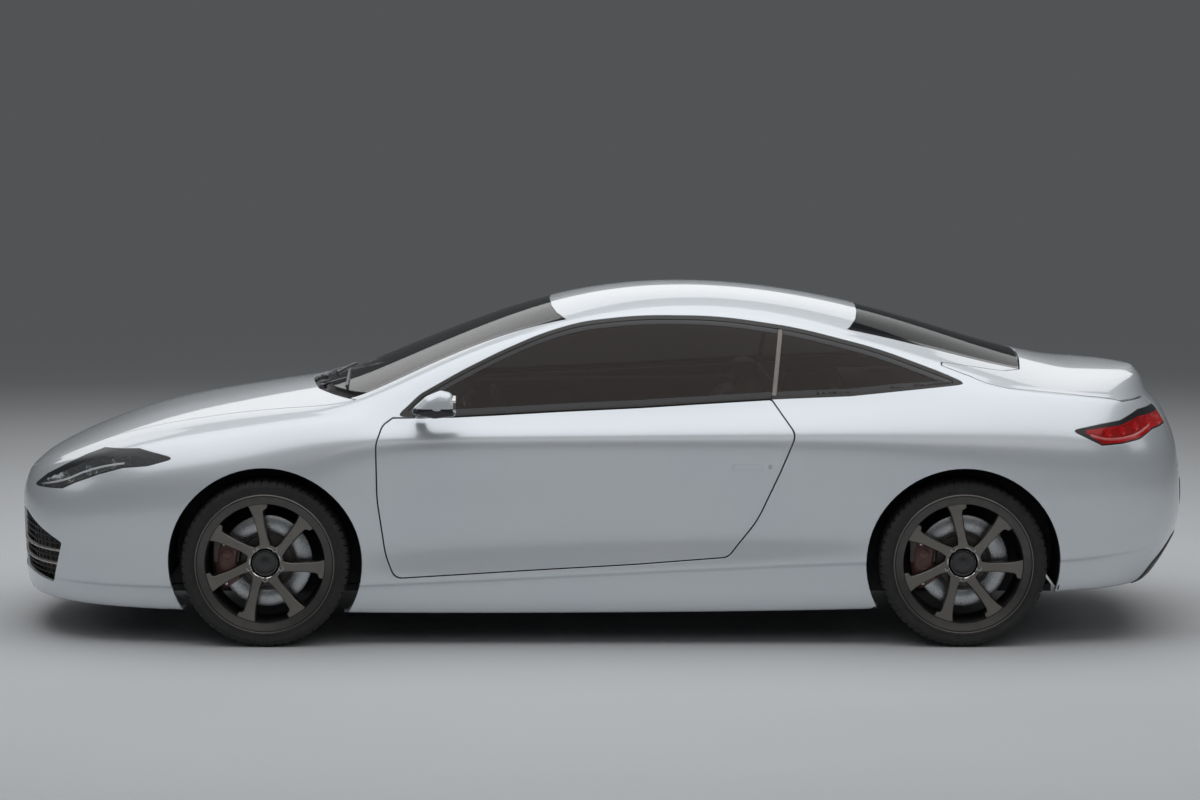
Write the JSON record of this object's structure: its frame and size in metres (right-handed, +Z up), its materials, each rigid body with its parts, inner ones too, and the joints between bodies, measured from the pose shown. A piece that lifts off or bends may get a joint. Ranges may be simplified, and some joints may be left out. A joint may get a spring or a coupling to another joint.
{
  "type": "two-door coupe car",
  "caption": "Low two-door coupe with opening doors, bonnet and boot lid, steered front wheels and freely turning spoked wheels.",
  "frame": {"origin": "on the ground under the middle of the car's length and width", "axes": "+X forward, +Y to the car's left, +Z up"},
  "size_m": [4.6891, 2.06, 1.3606],
  "materials": {
    "body_paint": "pearl silver-white gloss",
    "black_trim": "gloss black",
    "lamp_clear": "clear lens over a dark housing",
    "lamp_red": "red lens",
    "side_glass": "brown tinted",
    "screen_glass": "dark tinted",
    "structure": "matt dark",
    "cast_metal": "dark cast",
    "steel": "machined",
    "interior": "matt",
    "seat": "satin",
    "tyre": "matt",
    "wheel_alloy": "satin bronze-grey"
  },
  "bodies": {
    "body": {"front_bumper": "body_paint", "front_grille": "black_trim", "front_wing_left": "body_paint", "front_wing_right": "body_paint", "headlamp_left": "lamp_clear", "headlamp_right": "lamp_clear", "quarter_glass_left": "side_glass", "quarter_glass_right": "side_glass", "sill_left": "body_paint", "sill_right": "body_paint", "roof_rail_left": "body_paint", "roof_rail_right": "body_paint", "rear_wing_left": "body_paint", "rear_wing_right": "body_paint", "roof": "body_paint", "windscreen": "screen_glass", "rear_window": "screen_glass", "rear_bumper": "body_paint", "tail_lamp_left": "lamp_red", "tail_lamp_right": "lamp_red", "cowl": "black_trim", "front_structure": "structure", "rear_structure": "structure", "floor_pan": "structure", "engine_block": "cast_metal", "front_axle": "cast_metal", "rear_axle": "cast_metal", "exhaust": "steel", "dashboard": "interior", "steering_wheel": "interior", "rear_seat": "seat", "front_seat_left": "seat", "front_seat_right": "seat", "upright_rear_left": "cast_metal", "upright_rear_right": "cast_metal"},
    "door_left": {"door_left": "body_paint", "door_glass_left": "side_glass", "mirror_left": "body_paint"},
    "knuckle_left": {"upright_front_left": "cast_metal"},
    "front_wheel_left": {"tyre_front_left": "tyre", "rim_front_left": "wheel_alloy", "disc_front_left": "steel"},
    "rear_wheel_left": {"tyre_rear_left": "tyre", "rim_rear_left": "wheel_alloy", "disc_rear_left": "steel"},
    "door_right": {"door_right": "body_paint", "door_glass_right": "side_glass", "mirror_right": "body_paint"},
    "knuckle_right": {"upright_front_right": "cast_metal"},
    "front_wheel_right": {"tyre_front_right": "tyre", "rim_front_right": "wheel_alloy", "disc_front_right": "steel"},
    "rear_wheel_right": {"tyre_rear_right": "tyre", "rim_rear_right": "wheel_alloy", "disc_rear_right": "steel"},
    "bonnet": {"bonnet": "body_paint"},
    "boot_lid": {"boot_lid": "body_paint"}
  },
  "joints": [
    {"name": "door_left_hinge", "type": "hinge", "parent": "body", "child": "door_left", "pos_m": [0.7, 0.89, 0.7], "axis": [0, 0, -1], "range_deg": [0, 65]},
    {"name": "door_right_hinge", "type": "hinge", "parent": "body", "child": "door_right", "pos_m": [0.7, -0.89, 0.7], "axis": [0, 0, 1], "range_deg": [0, 65]},
    {"name": "bonnet_hinge", "type": "hinge", "parent": "body", "child": "bonnet", "pos_m": [0.985, 0, 0.948], "axis": [0, -1, 0], "range_deg": [0, 48]},
    {"name": "boot_lid_hinge", "type": "hinge", "parent": "body", "child": "boot_lid", "pos_m": [-1.372, 0, 1.07544], "axis": [0, 1, 0], "range_deg": [0, 65]},
    {"name": "steer_left", "type": "hinge", "parent": "body", "child": "knuckle_left", "pos_m": [1.305, 0.74, 0.3275], "axis": [0, 0, 1], "range_deg": [-32, 32]},
    {"name": "steer_right", "type": "hinge", "parent": "body", "child": "knuckle_right", "pos_m": [1.305, -0.74, 0.3275], "axis": [0, 0, 1], "range_deg": [-32, 32]},
    {"name": "front_wheel_left_spin", "type": "hinge", "parent": "knuckle_left", "child": "front_wheel_left", "pos_m": [1.305, 0.7875, 0.3275], "axis": [0, 1, 0], "continuous": true},
    {"name": "rear_wheel_left_spin", "type": "hinge", "parent": "body", "child": "rear_wheel_left", "pos_m": [-1.415, 0.7875, 0.3275], "axis": [0, 1, 0], "continuous": true},
    {"name": "front_wheel_right_spin", "type": "hinge", "parent": "knuckle_right", "child": "front_wheel_right", "pos_m": [1.305, -0.7875, 0.3275], "axis": [0, 1, 0], "continuous": true},
    {"name": "rear_wheel_right_spin", "type": "hinge", "parent": "body", "child": "rear_wheel_right", "pos_m": [-1.415, -0.7875, 0.3275], "axis": [0, 1, 0], "continuous": true}
  ],
  "couplings": [
    {"joint": "steer_right", "follows": "steer_left", "ratio": 1}
  ]
}
